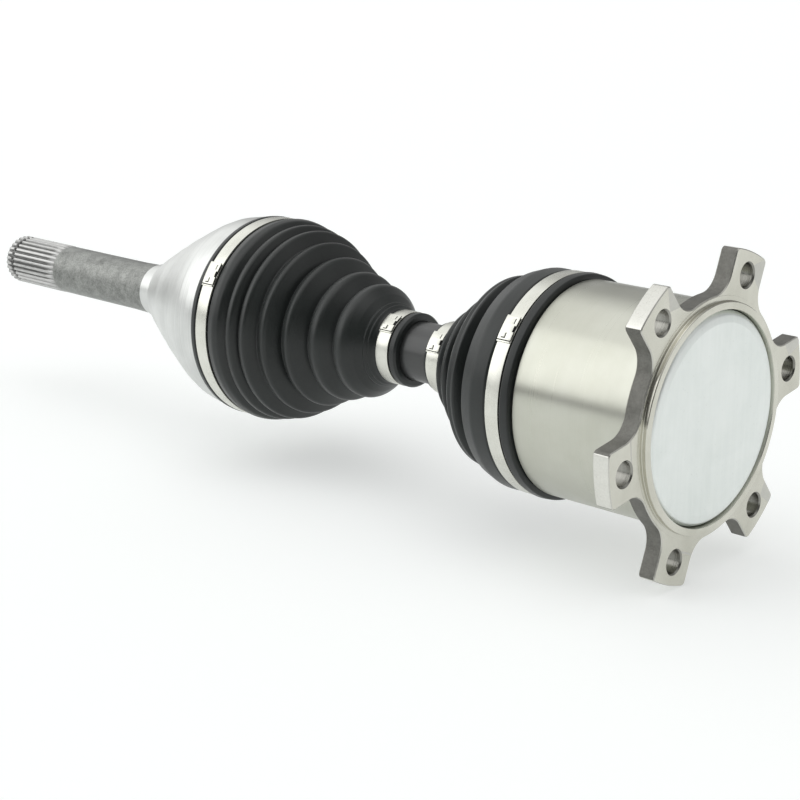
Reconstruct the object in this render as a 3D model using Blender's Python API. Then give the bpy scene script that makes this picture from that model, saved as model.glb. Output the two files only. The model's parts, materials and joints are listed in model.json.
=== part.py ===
"""A CV axle (front half shaft): a plunging tripod joint in a bolt-on housing, a shaft, and a fixed
six-ball joint whose bell is forged in one with a splined stub.

Lengths are in millimetres until they reach a mesh. The axle lies along X, with the bolting flange at +X.
A station is a distance along the axle from the flange's front face towards the stub's tip.
"""

import math

import bmesh
import bpy
from mathutils import Matrix, Vector

for old in list(bpy.data.objects):
    bpy.data.objects.remove(old)

MM = 0.001
GAP = 0.3  # between pieces that touch
FACETS = 30  # round a turned piece: the same on all, so that their flats line up

# Flange and inner housing
BOLT_CIRCLE_R = 65.0
LUGS = 6
LUG_TURN = math.radians(21.5)  # first lug, from +Z towards +Y
LUG_TIP_R = 75.7
LUG_CORNER = 2.2
LUG_HALF_WIDTH = 13.0
LUG_HOLE_R = 5.5
LUG_ROOT_R = 55.5
LUG_FILLET = 12.0
FLANGE_THICKNESS = 8.5
PILOT_R = 52.6
PILOT_HEIGHT = 2.3
BARREL_R = 51.3
BARREL_MOUTH = 92.0
CAP_R = 48.7
CAP_FACE = -2.4
CAP_SEAT = 5.0

# Tripod joint
INNER_JOINT = 50.0
TRUNNION_R = 9.0
ROLLER_CENTRE = 27.0  # from the axle's axis
ROLLER_R = 17.0
ROLLER_HALF_WIDTH = 7.0
NEEDLES = 14
TRACK_HALF_WIDTH = ROLLER_R + 1.0
TRACK_DEPTH = 39.5

# Shaft
SHAFT_R = 15.0
SHAFT_NECK_R = 12.5
SHAFT_SPLINE_R = 12.0

# Ball joint and stub
OUTER_JOINT = 297.0
BALL_R = 9.5
BALL_CENTRE = 31.0  # from the joint's centre
BALLS = 6
RACE_GROOVE_R = BALL_R + 0.9
BELL_GROOVE_R = BALL_R + 1.4  # the outer balls lag the bell a little at a compound angle
RACE_SPHERE_R = 28.2
CAGE_R = (28.7, 33.8)
BELL_SPHERE_R = 34.8
BELL_MOUTH = 267.0
STUB_R = 13.7
STUB_SPLINE_R = 14.0
STUB_TEETH = 28
STUB_TIP = 496.0

# Boots and their bands
BOOT_WALL = 2.4
BOOT_END_R = 52.3  # under the large bands
INNER_CUFF_R = 17.1  # under the small bands
OUTER_CUFF_R = 17.7
BAND_THICKNESS = 0.9
INNER_BAND = (77.3, 84.7)
INNER_CUFF_BAND = (143.5, 151.1)
OUTER_CUFF_BAND = (175.9, 183.7)
OUTER_BAND = (270.6, 278.3)

MIDDLE = (STUB_TIP + CAP_FACE) / 2  # the station at X = 0


def at(station):
    return (MIDDLE - station) * MM


def material(name, colour, roughness, metallic):
    made = bpy.data.materials.new(name)
    made.use_nodes = True
    shader = made.node_tree.nodes["Principled BSDF"]
    shader.inputs["Base Color"].default_value = (*colour, 1)
    shader.inputs["Roughness"].default_value = roughness
    shader.inputs["Metallic"].default_value = metallic
    return made


TURNED_STEEL = ((0.62, 0.60, 0.56), 0.3, 1.0)
FORGED_STEEL = ((0.42, 0.41, 0.39), 0.5, 1.0)
SATIN_STEEL = ((0.70, 0.71, 0.71), 0.35, 1.0)
ZINC = ((0.78, 0.82, 0.82), 0.4, 1.0)
HARD_STEEL = ((0.55, 0.56, 0.58), 0.18, 1.0)
SPRING_STEEL = ((0.25, 0.26, 0.28), 0.4, 1.0)
BAND_STEEL = ((0.75, 0.74, 0.70), 0.25, 1.0)
PAINTED_STEEL = ((0.06, 0.06, 0.065), 0.45, 0.2)
RUBBER = ((0.025, 0.026, 0.028), 0.5, 0.0)


def finish_mesh(name, bm, look, pivot):
    """Closes the books on a mesh: its object stands at the pivot station on the axle's axis."""
    bmesh.ops.remove_doubles(bm, verts=bm.verts, dist=1e-7)
    bmesh.ops.recalc_face_normals(bm, faces=bm.faces)
    mesh = bpy.data.meshes.new(name)
    bm.to_mesh(mesh)
    bm.free()
    mesh.shade_smooth()
    mesh.set_sharp_from_angle(angle=math.radians(35))
    made = bpy.data.objects.new(name, mesh)
    made.location.x = at(pivot)
    bpy.context.scene.collection.objects.link(made)
    if look:
        mesh.materials.append(material(name, *look))
    else:
        made.hide_render = True
        made.display_type = "WIRE"
    return made


def turned(name, section, look, pivot, axis="X", facets=FACETS):
    """A closed section turned about the axle's axis, as (station, radius), or about Z, as (height, radius)."""
    bm = bmesh.new()
    if axis == "X":
        points = [((pivot - along) * MM, 0, radius * MM) for along, radius in section]
    else:
        points = [(radius * MM, 0, along * MM) for along, radius in section]
    ring = [bm.verts.new(point) for point in points]
    sides = [
        bm.edges.new((ring[i - 1], ring[i]))
        for i in range(len(ring))
        if section[i - 1][1] or section[i][1]
    ]
    spin_axis = (1, 0, 0) if axis == "X" else (0, 0, 1)
    bmesh.ops.spin(
        bm, geom=ring + sides, cent=(0, 0, 0), axis=spin_axis, angle=math.tau,
        steps=facets, use_merge=True, use_duplicate=False,
    )
    return finish_mesh(name, bm, look, pivot)


def extruded(name, outline, start, end, look, pivot):
    """An outline in the YZ plane, as (y, z), extruded from one station to another."""
    bm = bmesh.new()
    face = bm.faces.new([bm.verts.new(((pivot - start) * MM, y * MM, z * MM)) for y, z in outline])
    moved = bmesh.ops.extrude_face_region(bm, geom=[face])["geom"]
    verts = [v for v in moved if isinstance(v, bmesh.types.BMVert)]
    bmesh.ops.translate(bm, verts=verts, vec=((start - end) * MM, 0, 0))
    return finish_mesh(name, bm, look, pivot)


def arc(centre, radius, first, last, count):
    """Points on an arc, both ends included, at angles in degrees from the first coordinate's axis."""
    angles = [math.radians(first + (last - first) * i / (count - 1)) for i in range(count)]
    return [(centre[0] + radius * math.cos(a), centre[1] + radius * math.sin(a)) for a in angles]


def about_axis(outline, angle):
    """The (y, z) outline turned by an angle from +Z towards +Y."""
    c, s = math.cos(angle), math.sin(angle)
    return [(y * c + z * s, z * c - y * s) for y, z in outline]


def boolean(target, tool, operation="DIFFERENCE"):
    """Both meshes are closed, as the Manifold solver needs; the Exact one leaves gaps in the thin shoulder."""
    modifier = target.modifiers.new(tool.name, "BOOLEAN")
    modifier.solver = "MANIFOLD"
    modifier.object = tool
    modifier.operation = operation


def split_ring(name, start, end, inner, outer, look, pivot, opening=24):
    """A snap ring: a flat C, open at the top."""
    half = opening / 2
    outline = arc((0, 0), outer, 90 + half, 450 - half, 16)
    outline += arc((0, 0), inner, 450 - half, 90 + half, 16)
    return extruded(name, outline, start, end, look, pivot)


def lug_outline():
    """The flange's six lugs: tips on one circle, rounded corners, a concave fillet down to the barrel."""
    centre_across = LUG_HALF_WIDTH + LUG_FILLET
    centre_out = math.sqrt((LUG_ROOT_R + LUG_FILLET) ** 2 - centre_across**2)
    root = math.degrees(math.atan2(centre_out, centre_across))
    corner_across = LUG_HALF_WIDTH - LUG_CORNER
    corner_out = math.sqrt((LUG_TIP_R - LUG_CORNER) ** 2 - corner_across**2)
    corner = math.degrees(math.atan2(corner_out, corner_across))
    right = arc((0, 0), LUG_TIP_R, 86.5, corner, 2)
    right += arc((corner_across, corner_out), LUG_CORNER, corner, 0, 3)[1:]
    right += arc((centre_across, centre_out), LUG_FILLET, 180, 180 + root, 7)
    left = [(-y, z) for y, z in reversed(right)]
    outline = []
    for i in range(LUGS):
        outline += about_axis(left + right, LUG_TURN + i * math.tau / LUGS)
    return outline


def track_outline():
    """The three roller tracks, as one trefoil: neighbouring tracks' sides meet between them."""
    corner = 7
    side = TRACK_HALF_WIDTH - corner
    track = [(-TRACK_HALF_WIDTH, TRACK_HALF_WIDTH / math.sqrt(3))]
    track += arc((-side, TRACK_DEPTH - corner), corner, 180, 90, 4)
    track += arc((side, TRACK_DEPTH - corner), corner, 90, 0, 4)
    outline = []
    for i in range(3):
        outline += about_axis(track, i * math.tau / 3)
    return outline


def build_inner_housing():
    seat = BARREL_R - 1.5
    section = [(-PILOT_HEIGHT, 0), (-PILOT_HEIGHT, PILOT_R - 0.6), (-PILOT_HEIGHT + 0.6, PILOT_R)]
    section += [(FLANGE_THICKNESS / 2, PILOT_R), (FLANGE_THICKNESS / 2 + 1, BARREL_R), (70.5, BARREL_R), (71, seat)]
    section += [(BARREL_MOUTH - 2, seat), (BARREL_MOUTH, seat - 2), (BARREL_MOUTH, 0)]
    housing = turned("inner_housing", section, TURNED_STEEL, INNER_JOINT)
    plate = extruded("flange_plate", lug_outline(), 0, FLANGE_THICKNESS, None, INNER_JOINT)
    boolean(housing, plate, "UNION")
    recess = [(-5, 0), (-5, CAP_R + GAP), (CAP_SEAT, CAP_R + GAP), (CAP_SEAT, 0)]
    boolean(housing, turned("cap_recess", recess, None, INNER_JOINT))
    flare = [(CAP_SEAT - 1, 0), (CAP_SEAT - 1, 24), (68, 24), (BARREL_MOUTH + 1, 32), (BARREL_MOUTH + 1, 0)]
    boolean(housing, turned("throat", flare, None, INNER_JOINT))
    boolean(housing, extruded("tracks", track_outline(), CAP_SEAT - 2, BARREL_MOUTH + 2, None, INNER_JOINT))
    hole = arc((0, BOLT_CIRCLE_R), LUG_HOLE_R, 0, 345, 16)
    for i in range(LUGS):
        outline = about_axis(hole, LUG_TURN + i * math.tau / LUGS)
        boolean(housing, extruded(f"bolt_hole_{i + 1}", outline, -1, FLANGE_THICKNESS + 1, None, INNER_JOINT))


def build_end_cap():
    section = [(CAP_FACE, 0), (CAP_FACE, CAP_R - 4.2), (CAP_FACE + 0.8, CAP_R - 1.3), (CAP_FACE + 2.7, CAP_R)]
    section += [(CAP_SEAT - GAP, CAP_R), (CAP_SEAT - GAP, CAP_R - 2.5), (0.2, CAP_R - 2.5), (0.2, 0)]
    turned("end_cap", section, ZINC, INNER_JOINT)


def build_tripod():
    """The spider on the shaft's inner end, with a needle roller and its retainer on each trunnion."""
    bore = SHAFT_SPLINE_R + GAP
    hub = [(INNER_JOINT - 11, bore), (INNER_JOINT - 11, 16.5), (INNER_JOINT - 9.7, 18), (INNER_JOINT + 9.7, 18)]
    hub += [(INNER_JOINT + 11, 16.5), (INNER_JOINT + 11, bore)]
    spider = turned("spider", hub, HARD_STEEL, INNER_JOINT)
    low, high = ROLLER_CENTRE - ROLLER_HALF_WIDTH, ROLLER_CENTRE + ROLLER_HALF_WIDTH
    pin = [(14.5, 0), (14.5, TRUNNION_R), (high + 0.2, TRUNNION_R), (high + 0.2, 7.6), (high + 2, 7.6)]
    pin += [(high + 2, 8.6), (high + 3.2, 8.6), (high + 3.2, 0)]
    edge = math.degrees(math.asin(ROLLER_HALF_WIDTH / ROLLER_R))
    roller = arc((ROLLER_CENTRE, 0), ROLLER_R, 90 + edge, 90 - edge, 5)
    roller += [(high, 12.9), (high - 0.8, 12.1), (low + 0.8, 12.1), (low, 12.9)]
    retainer = [(high + 0.5, 7.9), (high + 0.5, 13), (high + 1.7, 13), (high + 1.7, 7.9)]
    for i in range(3):
        turn = -i * math.tau / 3
        trunnion = turned(f"trunnion_{i + 1}", pin, None, INNER_JOINT, axis="Z", facets=18)
        trunnion.rotation_euler.x = turn
        boolean(spider, trunnion, "UNION")
        turned(f"roller_{i + 1}", roller, HARD_STEEL, INNER_JOINT, axis="Z", facets=22).rotation_euler.x = turn
        ring = turned(f"roller_retainer_{i + 1}", retainer, SPRING_STEEL, INNER_JOINT, axis="Z", facets=20)
        ring.rotation_euler.x = turn
        build_needles(f"needle_bearing_{i + 1}", low + 0.5, high - 0.5).rotation_euler.x = turn


def build_needles(name, low, high):
    """A full ring of needles, which stand side by side in grease and so make one scalloped sleeve."""
    inner, outer = TRUNNION_R + GAP, 11.8
    bm = bmesh.new()
    for height in (low, high):
        for i in range(NEEDLES * 2):
            a = i * math.tau / (NEEDLES * 2)
            bulge = outer if i % 2 else outer - 0.8
            for radius in (inner, bulge):
                bm.verts.new((radius * MM * math.cos(a), radius * MM * math.sin(a), height * MM))
    bm.verts.ensure_lookup_table()
    count = NEEDLES * 2
    for i in range(count):
        a, b = 2 * i, 2 * ((i + 1) % count)
        c, d = a + 2 * count, b + 2 * count
        for corners in ((a, b, b + 1, a + 1), (c, c + 1, d + 1, d), (a, c, d, b), (a + 1, b + 1, d + 1, c + 1)):
            bm.faces.new([bm.verts[k] for k in corners])
    return finish_mesh(name, bm, HARD_STEEL, INNER_JOINT)


def build_shaft():
    low, high = INNER_JOINT - 15, OUTER_JOINT + 15
    spline, groove = SHAFT_SPLINE_R, SHAFT_SPLINE_R - 1.2
    section = [(low, 0), (low, spline - 1), (low + 1, spline), (low + 1.7, spline), (low + 1.7, groove)]
    section += [(low + 3.7, groove), (low + 3.7, spline), (INNER_JOINT + 11.2, spline)]
    section += [(INNER_JOINT + 11.2, groove), (INNER_JOINT + 13.4, groove), (INNER_JOINT + 13.4, SHAFT_NECK_R)]
    section += [(112, SHAFT_NECK_R), (126, SHAFT_R), (204, SHAFT_R), (222, SHAFT_NECK_R), (281, SHAFT_NECK_R)]
    section += [(283, spline), (high - 3.3, spline), (high - 3.3, groove), (high - 1.3, groove)]
    section += [(high - 1.3, spline), (high - 0.8, spline), (high, spline - 1), (high, 0)]
    turned("axle_shaft", section, PAINTED_STEEL, INNER_JOINT)
    rings = {
        "spider_snap_ring": (low + 2, low + 3.4, INNER_JOINT),
        "spider_stop_ring": (INNER_JOINT + 11.6, INNER_JOINT + 13.1, INNER_JOINT),
        "race_snap_ring": (high - 3, high - 1.6, OUTER_JOINT),
    }
    for name, (start, end, pivot) in rings.items():
        split_ring(name, start, end, groove + GAP, spline + 2.4, SPRING_STEEL, pivot)


def groove_cutter(name, index, radius, first, last):
    """A round bar bent about the ball joint's centre: the path of one ball, with its clearance."""
    bm = bmesh.new()
    around = radius / math.cos(math.pi / 12)  # so that the flats clear the ball
    rim = arc((0, BALL_CENTRE), around, 0, 330, 12)
    start = Matrix.Rotation(math.radians(first), 4, "Y")
    section = [bm.verts.new(start @ Vector((0, y * MM, z * MM))) for y, z in rim]
    face = bm.faces.new(section)
    sweep = math.radians(last - first)
    bmesh.ops.spin(bm, geom=[face], cent=(0, 0, 0), axis=(0, 1, 0), angle=sweep, steps=6)
    bar = finish_mesh(name, bm, None, OUTER_JOINT)
    bar.rotation_euler.x = -index * math.tau / BALLS
    return bar


def build_ball_joint():
    """Inner race, cage and balls, all centred on the joint's centre."""
    edge = math.degrees(math.asin(12 / RACE_SPHERE_R))
    race = arc((OUTER_JOINT, 0), RACE_SPHERE_R, 90 + edge, 90 - edge, 7)
    race += [(OUTER_JOINT + 12, SHAFT_SPLINE_R + GAP), (OUTER_JOINT - 12, SHAFT_SPLINE_R + GAP)]
    inner_race = turned("inner_race", race, HARD_STEEL, OUTER_JOINT)
    inner, outer = CAGE_R
    in_edge, out_edge = (math.degrees(math.asin(14 / r)) for r in CAGE_R)
    shell = arc((OUTER_JOINT, 0), outer, 90 + out_edge, 90 - out_edge, 5)
    shell += arc((OUTER_JOINT, 0), inner, 90 - in_edge, 90 + in_edge, 5)
    cage = turned("ball_cage", shell, SPRING_STEEL, OUTER_JOINT)
    half = BALL_R + 0.5
    window = [(-10.5, 22), (10.5, 22), (10.5, 38), (-10.5, 38)]
    for i in range(BALLS):
        turn = i * math.tau / BALLS
        boolean(inner_race, groove_cutter(f"race_groove_{i + 1}", i, RACE_GROOVE_R, -50, 50))
        opening = about_axis(window, turn)
        name = f"cage_window_{i + 1}"
        boolean(cage, extruded(name, opening, OUTER_JOINT - half, OUTER_JOINT + half, None, OUTER_JOINT))
        bm = bmesh.new()
        place = Matrix.Rotation(-turn, 4, "X") @ Matrix.Translation((0, 0, BALL_CENTRE * MM))
        bmesh.ops.create_uvsphere(bm, u_segments=12, v_segments=8, radius=BALL_R * MM, matrix=place)
        finish_mesh(f"ball_{i + 1}", bm, HARD_STEEL, OUTER_JOINT)


def spline_outline():
    """A ring of square-shouldered teeth."""
    outline = []
    pitch = 360 / STUB_TEETH
    for i in range(STUB_TEETH):
        start = i * pitch
        outline += arc((0, 0), STUB_SPLINE_R, start - pitch * 0.2, start + pitch * 0.2, 2)
        outline += arc((0, 0), STUB_SPLINE_R - 1.3, start + pitch * 0.36, start + pitch * 0.64, 2)
    return outline


def build_outer_housing():
    """The bell and the stub, one forging: the bell's outside narrows through a boss and a fillet."""
    root = STUB_SPLINE_R - 1.6
    section = [(BELL_MOUTH, 0), (BELL_MOUTH, 48.4), (BELL_MOUTH + 1.5, 49.9), (282.6, 49.9), (283, 52.3)]
    section += [(289, 52), (296, 50.7), (303.5, 47.9), (312, 43.8), (320, 39.9), (328, 35.7), (336, 31.3)]
    section += [(342, 27.9), (348, 24.4), (353, 21.4), (357, 19), (360.4, 16.8), (361.8, 15.7), (366.6, 15.1)]
    section += [(371, 14.4), (384, STUB_R), (451, STUB_R), (457, root), (487, root)]
    section += [(487, 13), (494.5, 13), (STUB_TIP, 11.5), (STUB_TIP, 0)]
    bell = turned("outer_housing", section, SATIN_STEEL, OUTER_JOINT)
    teeth = extruded("stub_spline", spline_outline(), 453, 490, None, OUTER_JOINT)
    boolean(bell, teeth, "UNION")
    hollow = [(BELL_MOUTH - 1, 0), (BELL_MOUTH - 1, 42)]
    hollow += arc((OUTER_JOINT, 0), BELL_SPHERE_R, 116, 36, 7)
    hollow += [(OUTER_JOINT + BELL_SPHERE_R * math.cos(math.radians(36)), 0)]
    boolean(bell, turned("bell_hollow", hollow, None, OUTER_JOINT))
    for i in range(BALLS):
        boolean(bell, groove_cutter(f"bell_groove_{i + 1}", i, BELL_GROOVE_R, -46, 52))


def build_boot(name, large_end, folds, cuff, pivot):
    """A rubber bellows: its outside follows the folds, and its inside runs from valley to valley."""
    outside = large_end + folds + cuff
    seat_large, seat_small = BARREL_R - 1.5 + GAP, SHAFT_R + GAP
    valleys = [b for a, b, c in zip(folds[1:], folds[2:], folds[3:]) if b[1] <= min(a[1], c[1])]
    inside = [(s, r - BOOT_WALL) for s, r in folds[:2] + valleys + folds[-1:]]
    section = outside + [(cuff[-1][0], seat_small), (cuff[0][0], seat_small)]
    section += inside[::-1] + [(large_end[-1][0], seat_large), (large_end[0][0], seat_large)]
    turned(name, section, RUBBER, pivot)


def build_boots():
    large, cuff = BOOT_END_R, INNER_CUFF_R
    start, end = INNER_BAND
    lip = [(start - 5.7, large), (start - 4, large + 1.4), (start - 0.8, large + 1.4), (start - 0.4, large)]
    lip += [(end + 0.4, large)]
    folds = [(end + 2, large + 0.5), (93, large + 0.4), (99.5, 49.6), (105.8, 42.6), (109.5, 44.6), (115, 42)]
    folds += [(120.8, 32.6), (124.6, 34.2), (128.6, 31), (132, 24.8), (135.4, 26.4), (139.5, 22)]
    start, end = INNER_CUFF_BAND
    end_cuff = [(start - 0.4, cuff), (end + 0.4, cuff), (end + 1, cuff + 0.6), (end + 2, cuff)]
    build_boot("inner_boot", lip, folds, end_cuff, INNER_JOINT)

    cuff = OUTER_CUFF_R
    start, end = OUTER_BAND
    lip = [(end + 3.9, large), (end + 3.3, large + 1.3), (end + 0.8, large + 1.3), (end + 0.4, large)]
    lip += [(start - 0.4, large)]
    folds = [(start - 2, large + 1), (264, 53.4), (259, 50.4), (255.2, 51.4), (252, 47.6), (247.9, 49.8)]
    folds += [(243, 42.6), (238, 45), (233, 35.8), (227.5, 38.8), (220, 29.6), (213, 33.4), (206, 25)]
    folds += [(199.6, 28.6), (193, 22.6), (187, 19.8)]
    start, end = OUTER_CUFF_BAND
    end_cuff = [(end + 0.4, cuff), (start - 0.4, cuff), (start - 1.2, cuff + 1), (start - 4, cuff + 1)]
    end_cuff += [(start - 5, cuff)]
    build_boot("outer_boot", lip, folds, end_cuff, OUTER_JOINT)


def build_band(name, span, boot_r, pivot, buckle_turn):
    """A steel band round a boot, with its pinched buckle standing on it."""
    inner = boot_r + GAP
    outer = inner + BAND_THICKNESS
    start, end = span
    band = turned(name, [(start, inner), (start, outer), (end, outer), (end, inner)], BAND_STEEL, pivot)
    block = [(-4, outer - 0.6), (-4, outer + 1.1), (4, outer + 1.1), (4, outer - 0.6)]
    block = about_axis(block, math.radians(buckle_turn))
    boolean(band, extruded(name + "_buckle", block, start + 1, end - 1, None, pivot), "UNION")


def build_bands():
    build_band("inner_boot_band_large", INNER_BAND, BOOT_END_R, INNER_JOINT, -50)
    build_band("inner_boot_band_small", INNER_CUFF_BAND, INNER_CUFF_R, INNER_JOINT, -60)
    build_band("outer_boot_band_small", OUTER_CUFF_BAND, OUTER_CUFF_R, OUTER_JOINT, -45)
    build_band("outer_boot_band_large", OUTER_BAND, BOOT_END_R, OUTER_JOINT, -55)


build_inner_housing()
build_end_cap()
build_tripod()
build_shaft()
build_ball_joint()
build_outer_housing()
build_boots()
build_bands()
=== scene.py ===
"""The looks of the CV axle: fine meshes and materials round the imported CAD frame.

Lengths are in millimetres until they reach a mesh. A station is a distance along the axle from the
flange's front face towards the stub's tip; the frame says where that face is.
"""

import json
import math
from collections import namedtuple

import bmesh
import bpy
from mathutils import Matrix, Vector

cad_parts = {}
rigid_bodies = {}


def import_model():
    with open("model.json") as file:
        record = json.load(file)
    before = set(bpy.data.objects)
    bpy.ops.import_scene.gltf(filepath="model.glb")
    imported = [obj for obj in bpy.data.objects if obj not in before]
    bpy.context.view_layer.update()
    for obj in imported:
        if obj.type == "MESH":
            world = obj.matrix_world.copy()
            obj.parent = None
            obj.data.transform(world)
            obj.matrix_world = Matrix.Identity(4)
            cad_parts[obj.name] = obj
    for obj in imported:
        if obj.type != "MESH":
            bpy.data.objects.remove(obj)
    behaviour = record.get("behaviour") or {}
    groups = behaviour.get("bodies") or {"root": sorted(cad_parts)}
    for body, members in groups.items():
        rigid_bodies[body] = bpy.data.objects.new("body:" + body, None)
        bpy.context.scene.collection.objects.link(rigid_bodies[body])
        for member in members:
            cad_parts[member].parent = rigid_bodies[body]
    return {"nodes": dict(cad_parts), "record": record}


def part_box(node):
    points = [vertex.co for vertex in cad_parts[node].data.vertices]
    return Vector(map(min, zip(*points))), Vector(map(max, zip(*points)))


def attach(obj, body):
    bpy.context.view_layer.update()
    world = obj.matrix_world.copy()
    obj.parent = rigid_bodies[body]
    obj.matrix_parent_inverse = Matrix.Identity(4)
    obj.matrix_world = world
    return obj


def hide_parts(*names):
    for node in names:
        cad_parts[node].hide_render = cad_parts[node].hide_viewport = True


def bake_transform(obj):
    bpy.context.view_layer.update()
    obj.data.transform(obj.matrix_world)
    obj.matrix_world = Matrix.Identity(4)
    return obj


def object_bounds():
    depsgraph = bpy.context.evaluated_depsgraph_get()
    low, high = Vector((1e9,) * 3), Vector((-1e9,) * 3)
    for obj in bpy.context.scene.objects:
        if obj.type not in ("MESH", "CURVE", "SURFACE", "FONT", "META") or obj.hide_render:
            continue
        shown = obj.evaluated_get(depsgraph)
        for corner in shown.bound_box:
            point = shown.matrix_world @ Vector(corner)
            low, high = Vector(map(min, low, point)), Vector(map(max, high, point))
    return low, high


for old in list(bpy.data.objects):
    bpy.data.objects.remove(old)

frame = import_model()
cad_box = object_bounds()

MM = 0.001
CAP_PROUD = 2.4  # how far the end cap stands in front of the flange
FLANGE_X = cad_box[1].x - CAP_PROUD * MM
STEPS = 144  # round a turned piece
NODES = frame["nodes"]


def at(station):
    return FLANGE_X - station * MM


def span(node):
    """The stations at which a CAD node starts and ends."""
    low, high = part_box(node)
    return (FLANGE_X - high.x) / MM, (FLANGE_X - low.x) / MM


# ---------------------------------------------------------------- camera, floor and light

LENS = 82.4
CAMERA_PLACE = (0.6616, -0.6606, 0.2379)
CAMERA_AZIMUTH = math.radians(42.2)
CAMERA_ELEVATION = math.radians(16.62)


def make_camera():
    camera = bpy.data.objects.new("camera", bpy.data.cameras.new("camera"))
    bpy.context.scene.collection.objects.link(camera)
    camera.data.lens = LENS
    camera.data.clip_start = 0.01
    flat = math.cos(CAMERA_ELEVATION)
    towards = (-math.sin(CAMERA_AZIMUTH) * flat, math.cos(CAMERA_AZIMUTH) * flat, -math.sin(CAMERA_ELEVATION))
    camera.location = CAMERA_PLACE
    camera.rotation_euler = Vector(towards).to_track_quat("-Z", "Y").to_euler()
    bpy.context.scene.camera = camera


def make_far_light(name, towards, width, strength):
    """A soft box so far away that it lights the whole floor alike: towards it, and how many degrees it spans."""
    data = bpy.data.lights.new(name, "SUN")
    data.angle = math.radians(width)
    data.energy = strength
    light = bpy.data.objects.new(name, data)
    light.rotation_euler = Vector(towards).to_track_quat("Z", "Y").to_euler()
    bpy.context.scene.collection.objects.link(light)


def make_studio():
    """A white floor, two soft boxes and the tent."""
    lowest = cad_box[0].z
    bpy.ops.mesh.primitive_plane_add(size=60, location=(0, 0, lowest - 0.0005))
    floor = bpy.context.object
    floor.name = "floor"
    floor.data.materials.append(lit_paper("floor_paper", (0.60, 0.61, 0.607), 0.455))
    make_far_light("left_box", (-0.62, -0.55, 0.50), 50, 0.30)
    make_far_light("overhead", (0.15, -0.25, 0.95), 60, 0.55)
    make_world()
    bpy.context.scene.view_settings.view_transform = "Standard"


CAMERA_SIDE = (0.62, -0.76, 0.2)  # the tent is dark behind the camera
HORIZON_LEVEL, ZENITH_LEVEL = 0.7, 0.9
# The tent's brightness at heights between the horizon, 0, and the zenith, 1.
WALL_LEVELS = ((0.004, 0.16), (0.06, 0.14), (0.12, 1.0), (0.34, 1.08), (0.66, 0.98), (0.755, 0.80), (0.80, 0.9))
TENT_STRENGTH = 0.95
BACKDROP = (0.99, 1, 0.997, 1)


def make_world():
    """A tent that the axle mirrors, while the picture's own backdrop is plain paper.

    It has a dark skirting at the horizon, walls that are brightest at the left, a dim seam and a darker back.
    """
    world = bpy.context.scene.world or bpy.data.worlds.new("tent")
    bpy.context.scene.world = world
    world.use_nodes = True
    nodes, links = world.node_tree.nodes, world.node_tree.links
    nodes.clear()
    direction = nodes.new("ShaderNodeTexCoord")
    split = nodes.new("ShaderNodeSeparateXYZ")
    links.new(direction.outputs["Generated"], split.inputs[0])
    height = nodes.new("ShaderNodeValToRGB")
    stops = height.color_ramp.elements
    stops[0].position, stops[0].color = 0.0, (HORIZON_LEVEL, HORIZON_LEVEL, HORIZON_LEVEL, 1)
    stops[1].position, stops[1].color = 1.0, (ZENITH_LEVEL, ZENITH_LEVEL, ZENITH_LEVEL, 1)
    for place, level in WALL_LEVELS:
        stop = stops.new(place)
        stop.color = (level, level * 1.005, level, 1)
    links.new(split.outputs["Z"], height.inputs[0])
    towards_camera = nodes.new("ShaderNodeVectorMath")
    towards_camera.operation = "DOT_PRODUCT"
    towards_camera.inputs[1].default_value = CAMERA_SIDE
    links.new(direction.outputs["Generated"], towards_camera.inputs[0])
    value = height.outputs["Color"]
    # How far a direction leans to a side, the leans between which the brightness changes, and from what to what.
    sides = (
        (split.outputs["Y"], 0.33, 0.66, 1.0, 0.4),
        (split.outputs["X"], -0.45, -0.05, 1.36, 1.0),
        (towards_camera.outputs["Value"], 0.30, 0.80, 1.0, 0.10),
    )
    for lean, near, far, start, end in sides:
        side = nodes.new("ShaderNodeMapRange")
        for socket, number in (("From Min", near), ("From Max", far), ("To Min", start), ("To Max", end)):
            side.inputs[socket].default_value = number
        links.new(lean, side.inputs["Value"])
        shade = nodes.new("ShaderNodeVectorMath")
        shade.operation = "SCALE"
        links.new(value, shade.inputs[0])
        links.new(side.outputs["Result"], shade.inputs["Scale"])
        value = shade.outputs[0]
    tent = nodes.new("ShaderNodeBackground")
    tent.inputs["Strength"].default_value = TENT_STRENGTH
    links.new(value, tent.inputs["Color"])
    paper = nodes.new("ShaderNodeBackground")
    paper.inputs["Color"].default_value = BACKDROP
    seen = nodes.new("ShaderNodeMixShader")
    links.new(nodes.new("ShaderNodeLightPath").outputs["Is Camera Ray"], seen.inputs[0])
    links.new(tent.outputs[0], seen.inputs[1])
    links.new(paper.outputs[0], seen.inputs[2])
    links.new(seen.outputs[0], nodes.new("ShaderNodeOutputWorld").inputs[0])


# ---------------------------------------------------------------- materials


def lit_paper(name, colour, glow):
    """Paper on a light table: a diffuse sheet that also glows a little, as if lit from below."""
    made = bpy.data.materials.new(name)
    made.use_nodes = True
    shader = made.node_tree.nodes["Principled BSDF"]
    shader.inputs["Base Color"].default_value = (*colour, 1)
    shader.inputs["Roughness"].default_value = 0.9
    shader.inputs["Emission Color"].default_value = (0.98, 1, 0.99, 1)
    shader.inputs["Emission Strength"].default_value = glow
    return made


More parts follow.
